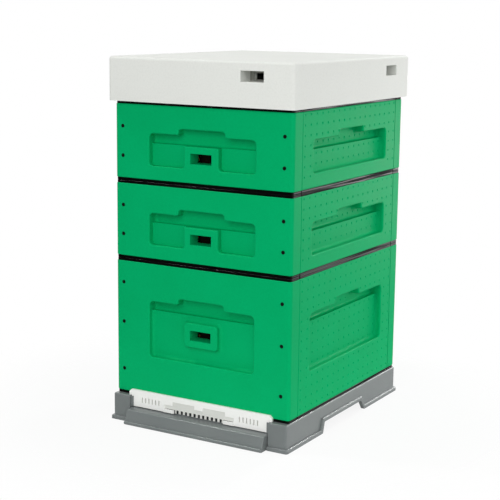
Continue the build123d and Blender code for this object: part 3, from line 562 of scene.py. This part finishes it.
FINISH["beeswax"] = material
print("cells", CELL_MM, "mm")

# %% [markdown]
# ## Dress the CAD solids
#
# Every solid keeps its shape and takes the finish that its record slot names. The record is asked
# for the slot, so a renamed or added solid needs no change here.

# %% Give each solid its finish
SLOT_OF = {row["node"]: row["material_slot"] for row in frame["record"]["subparts"]}
for name, solid in frame["nodes"].items():
    for material_slot in solid.material_slots:
        material_slot.material = FINISH[SLOT_OF[name]]
print("dressed", len(frame["nodes"]), "solids in", len(FINISH), "finishes")

# %% [markdown]
# ## Screw heads
#
# The screws have countersunk heads, drawn tight until the rim bites into the foam and lies level
# with it. The CAD heads are plain and end a little deeper in their holes. New screws could be
# turned from a profile, but the CAD ones are right apart from that rim, so the outer ring of each
# head is moved out to the panel's face and widened about its own axis.

# %% Countersunk screw heads
HEAD_R = 4.2 * MM
HEAD_OVER_FACE = 0.2 * MM
HEAD_END = 0.5 * MM
HEAD_SPAN = 3 * HEAD_R

for box in ("brood", "lower_super", "upper_super"):
    low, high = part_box(f"{box}_screws")
    front_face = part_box(f"{box}_front_panel")[0].y - HEAD_OVER_FACE
    back_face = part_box(f"{box}_back_panel")[1].y + HEAD_OVER_FACE
    mesh = frame["nodes"][f"{box}_screws"].data.copy()
    for end, face in ((low.y, front_face), (high.y, back_face)):
        ring = [point for point in mesh.vertices if abs(point.co.y - end) < HEAD_END]
        spots = [point.co.copy() for point in ring]
        for point, spot in zip(ring, spots):
            head = [other for other in spots if (other - spot).length < HEAD_SPAN]
            across, upward = [p.x for p in head], [p.z for p in head]
            axis = Vector((min(across) + max(across), 2 * face, min(upward) + max(upward))) / 2
            out = Vector((spot.x - axis.x, 0, spot.z - axis.z))
            point.co = axis + HEAD_R * out.normalized()
    screws = put(f"{box}_countersunk_screws", mesh)
    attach(screws, f"{box}_box")
    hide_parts(f"{box}_screws")
    print("countersunk", screws.name)

# %% [markdown]
# ## Vent marks in the side panels
#
# Steam enters the mould through rows of small round vents, and each one leaves a shallow dish in
# the foam. The dishes sit on a plain grid over the side panels, on the outer face and on the floors
# of the handholds alike. Bump would do from the front, but the dishes also catch light at their
# rims, so they are cut. A ray from outside finds the depth at each point of the grid, points too
# close to an edge are skipped, and one Boolean cut presses all the dishes of a panel at once.

# %% Grid of dishes on one panel
MARK_PITCH = (25.5 * MM, 21.4 * MM)
MARK_COLUMNS = 18
MARK_TOP = 6.7 * MM
EDGE_ROOM = 4.6 * MM
EDGE_PROBES = ((0, 0), (EDGE_ROOM, 0), (-EDGE_ROOM, 0), (0, EDGE_ROOM), (0, -EDGE_ROOM))
RAY_FROM = 50 * MM
FLAT_WITHIN = 0.2 * MM


def mark_spots(panel, face_x):
    """Grid points on the panel with flat foam all round them."""
    low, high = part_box(panel)
    tree = BVHTree.FromPolygons(
        [v.co for v in frame["nodes"][panel].data.vertices],
        [p.vertices[:] for p in frame["nodes"][panel].data.polygons],
    )
    side = math.copysign(1, face_x)
    middle = (low.y + high.y) / 2
    spots = []
    z = high.z - MARK_TOP
    while z > low.z + EDGE_ROOM:
        for column in range(MARK_COLUMNS):
            y = middle + (column - (MARK_COLUMNS - 1) / 2) * MARK_PITCH[0]
            found = []
            for dy, dz in EDGE_PROBES:
                outside = Vector((face_x + side * RAY_FROM, y + dy, z + dz))
                hit = tree.ray_cast(outside, Vector((-side, 0, 0)))[0]
                found.append(hit.x if hit is not None else math.inf)
            if max(found) - min(found) < FLAT_WITHIN:
                spots.append(Vector((found[0], y, z)))
        z -= MARK_PITCH[1]
    return spots


right_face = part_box("brood_right_panel")[1].x
brood_spots = mark_spots("brood_right_panel", right_face)
super_spots = mark_spots("upper_super_right_panel", right_face)
print("marks", len(brood_spots), len(super_spots))

# %% [markdown]
# Each dish is cut by a blunt pin that stands in the foam. The pin's last ring is wider and lies
# above the face, so that the cut leaves a clean rim. All the pins of a panel are one mesh.

# %% Pins for the dishes
MARK_R, MARK_DEEP = 3.1 * MM, 1.4 * MM
MARK_SIDES = 10
# rings of a pin: share of the radius, share of the depth
MARK_PROFILE = ((0.62, 0.85), (1.0, 0.0), (1.1, -0.3))


def dish_pins(spots):
    """A blunt pin for each dish, all in one mesh."""
    shape = bmesh.new()
    for spot in spots:
        rings = []
        for radius, depth in MARK_PROFILE:
            rings.append([
                shape.verts.new(spot + Vector((
                    -MARK_DEEP * depth,
                    radius * MARK_R * math.cos(math.tau * i / MARK_SIDES),
                    radius * MARK_R * math.sin(math.tau * i / MARK_SIDES),
                )))
                for i in range(MARK_SIDES)
            ])
        tip = shape.verts.new(spot - Vector((MARK_DEEP, 0, 0)))
        for i in range(MARK_SIDES):
            j = (i + 1) % MARK_SIDES
            shape.faces.new((tip, rings[0][j], rings[0][i]))
            for inner, outer in zip(rings, rings[1:]):
                shape.faces.new((inner[i], inner[j], outer[j], outer[i]))
        shape.faces.new(rings[-1])
    bmesh.ops.recalc_face_normals(shape, faces=shape.faces)
    mesh = bpy.data.meshes.new("dish_pins")
    shape.to_mesh(mesh)
    shape.free()
    return mesh


brood_pins, super_pins = dish_pins(brood_spots), dish_pins(super_spots)
print("pin faces", len(brood_pins.polygons), len(super_pins.polygons))

# %% [markdown]
# The CAD mesh has split corners, so it is welded before the cut. After the cut the faces are shaded
# smooth, and the edges round the panel's flat faces are kept sharp, so that those stay flat.

# %% Press the dishes
WELD = 0.002 * MM
SHARP_ANGLE = math.radians(22)
FACE_ON = 0.9999


def pressed(panel, pin_mesh):
    """The panel's mesh with the dishes cut into it."""
    shape = bmesh.new()
    shape.from_mesh(frame["nodes"][panel].data)
    bmesh.ops.remove_doubles(shape, verts=shape.verts, dist=WELD)
    mesh = bpy.data.meshes.new("blank")
    shape.to_mesh(mesh)
    shape.free()
    blank, pins = put("blank", mesh), put("dish_pins", pin_mesh)
    cut = blank.modifiers.new("cut", "BOOLEAN")
    cut.object, cut.operation, cut.solver = pins, "DIFFERENCE", "EXACT"
    graph = bpy.context.evaluated_depsgraph_get()
    made = bpy.data.meshes.new_from_object(blank.evaluated_get(graph))
    for helper in (blank, pins):
        bpy.data.objects.remove(helper)
    made.materials.clear()
    made.materials.append(FINISH["green_foam"])
    made.shade_smooth()
    made.set_sharp_from_angle(angle=SHARP_ANGLE)
    shape = bmesh.new()
    shape.from_mesh(made)
    for edge in shape.edges:
        if len({abs(face.normal.x) > FACE_ON for face in edge.link_faces}) == 2:
            edge.smooth = False
    shape.to_mesh(made)
    shape.free()
    return made


brood_mesh = pressed("brood_right_panel", brood_pins)
super_mesh = pressed("upper_super_right_panel", super_pins)
print("pressed faces", len(brood_mesh.polygons), len(super_mesh.polygons))

# %% [markdown]
# The left panel is the right one mirrored, and the lower super is the upper one lower down, so the
# two cut meshes dress all six sides.

# %% Six side panels
for box, mesh, source in (
    ("brood", brood_mesh, "brood_right_panel"),
    ("lower_super", super_mesh, "upper_super_right_panel"),
    ("upper_super", super_mesh, "upper_super_right_panel"),
):
    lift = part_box(f"{box}_right_panel")[0].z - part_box(source)[0].z
    for side in ("right", "left"):
        copy = mesh.copy()
        copy.transform(Matrix.Translation((0, 0, lift)))
        if side == "left":
            copy.transform(Matrix.Diagonal((-1, 1, 1, 1)))
            copy.flip_normals()
        panel = put(f"{box}_{side}_vent_marked_panel", copy)
        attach(panel, f"{box}_box")
        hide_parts(f"{box}_{side}_panel")
        print("pressed", panel.name)

# %% [markdown]
# ## Studio
#
# The photograph is a catalogue shot on white. A studio would use a curved paper sweep. Here the
# floor is a pale disc that keeps the hive's shadow and fades out into the white, so no horizon
# shows from any side. What the camera sees of it is mostly its own glow, which lights nothing.

# %% Floor
FLOOR_R = 0.9
FLOOR_SIDES = 96
FLOOR_FADE = {"From Min": 0.45, "From Max": 0.85}
FLOOR_GLOW = 0.88
FLOOR_DROP = 0.2 * MM
WHITE = paint("#FFFFFF")

material, tree, shader, place = start("pale_floor")
reach = add(tree, "ShaderNodeVectorMath", {0: place}, operation="LENGTH").outputs["Value"]
fade = add(
    tree, "ShaderNodeMapRange",
    {"Value": reach, **FLOOR_FADE},
    interpolation_type="SMOOTHSTEP",
)
clear = add(tree, "ShaderNodeBsdfTransparent")
glow = add(tree, "ShaderNodeEmission", {"Color": WHITE, "Strength": 1.0})
seen = add(tree, "ShaderNodeLightPath").outputs["Is Camera Ray"]
share = add(tree, "ShaderNodeMath", {0: seen, 1: FLOOR_GLOW}, operation="MULTIPLY").outputs[0]
pale = add(tree, "ShaderNodeMixShader", {0: share, 1: shader.outputs[0], 2: glow.outputs[0]})
blend = add(
    tree, "ShaderNodeMixShader",
    {0: fade.outputs[0], 1: pale.outputs[0], 2: clear.outputs[0]},
)
tree.links.new(blend.outputs[0], tree.nodes["Material Output"].inputs[0])
shader.inputs["Base Color"].default_value = paint("#FAFAFA")
shader.inputs["Roughness"].default_value = 0.9
shader.inputs["Specular IOR Level"].default_value = 0.0

shape = bmesh.new()
bmesh.ops.create_circle(shape, cap_ends=True, segments=FLOOR_SIDES, radius=FLOOR_R)
mesh = bpy.data.meshes.new("floor")
shape.to_mesh(mesh)
shape.free()
mesh.materials.append(material)
floor = put("floor", mesh)
floor.location.z = -FLOOR_DROP
floor.visible_glossy = False
print("floor radius", FLOOR_R)

# %% [markdown]
# The world does three jobs, told apart by the kind of ray. The camera and the clear sheet see plain
# white. Dull surfaces get a little even light. Shiny ones mirror a room that is white behind the
# hive, dark on the camera's side and dimmer towards the floor. Modelled walls would do the same,
# but they would also bounce light and stand in the way of other views.

# %% World
AMBIENT = 0.28
ROOM_DEPTH = {"From Min": -0.5, "From Max": 0.5}
ROOM_HEIGHT = {"From Min": -0.3, "From Max": 0.15, "To Min": 0.72, "To Max": 1.6}

world = bpy.data.worlds.new("studio")
world.use_nodes = True
bpy.context.scene.world = world
tree = world.node_tree
even = tree.nodes["Background"]
even.inputs["Color"].default_value = WHITE
even.inputs["Strength"].default_value = AMBIENT
way = add(tree, "ShaderNodeTexCoord").outputs["Generated"]
axes = add(tree, "ShaderNodeSeparateXYZ", {0: way})
depth = add(tree, "ShaderNodeMapRange", {"Value": axes.outputs["Y"], **ROOM_DEPTH}).outputs[0]
height = add(tree, "ShaderNodeMapRange", {"Value": axes.outputs["Z"], **ROOM_HEIGHT}).outputs[0]
glare = add(tree, "ShaderNodeMath", {0: depth, 1: height}, operation="MULTIPLY").outputs[0]
room = add(tree, "ShaderNodeBackground", {"Color": WHITE, "Strength": glare})
sweep = add(tree, "ShaderNodeBackground", {"Color": WHITE, "Strength": 1.0})
rays = add(tree, "ShaderNodeLightPath").outputs
seen = add(
    tree, "ShaderNodeMath",
    {0: rays["Is Camera Ray"], 1: rays["Is Transmission Ray"]},
    operation="MAXIMUM",
)
mirrored = add(
    tree, "ShaderNodeMixShader",
    {0: rays["Is Glossy Ray"], 1: even.outputs[0], 2: room.outputs[0]},
)
whole = add(
    tree, "ShaderNodeMixShader",
    {0: seen.outputs[0], 1: mirrored.outputs[0], 2: sweep.outputs[0]},
)
tree.links.new(whole.outputs[0], tree.nodes["World Output"].inputs[0])
print("even light", AMBIENT)

# %% [markdown]
# A broad softbox stands in front, weaker ones at the front right and the right side, and one hangs
# overhead. Shiny surfaces don't mirror the first three, because the image of so large a lamp would
# bleach the satin paint. The small lamps at the back and the left are mirrored, and their images
# draw the bright lines on beads, rolls and lips. The grazing lamp is near and low, behind the right
# side: it makes the sheen of that side grow towards the back.

# %% Lamps
# degrees round from the front, degrees above, metres away, metres across, watts, mirrored
LAMPS = {
    "front_softbox": (14, 20, 3.2, 2.4, 58.0, False),
    "front_right_softbox": (62, 12, 3.0, 2.4, 14.0, False),
    "side_softbox": (120, 10, 3.0, 2.4, 31.0, False),
    "top_softbox": (0, 88, 3.0, 3.0, 14.0, True),
    "back_softbox": (172, 32, 3.0, 0.3, 20.0, True),
    "grazing_softbox": (158, 3, 1.5, 0.55, 4.5, True),
    "left_softbox": (-66, 56, 3.0, 0.35, 16.0, True),
}
for name, (around, above, distance, across, power, in_mirrors) in LAMPS.items():
    ray = direction(math.radians(around), math.radians(above))
    lamp = put(name, bpy.data.lights.new(name, "AREA"))
    lamp.data.size, lamp.data.energy = across, power
    lamp.location = VIEW_TARGET + distance * ray
    lamp.rotation_mode = "QUATERNION"
    lamp.rotation_quaternion = ray.to_track_quat("Z", "Y")
    lamp.visible_camera, lamp.visible_glossy = False, in_mirrors
bpy.context.scene.view_settings.view_transform = "Standard"
print("lamps", list(LAMPS))
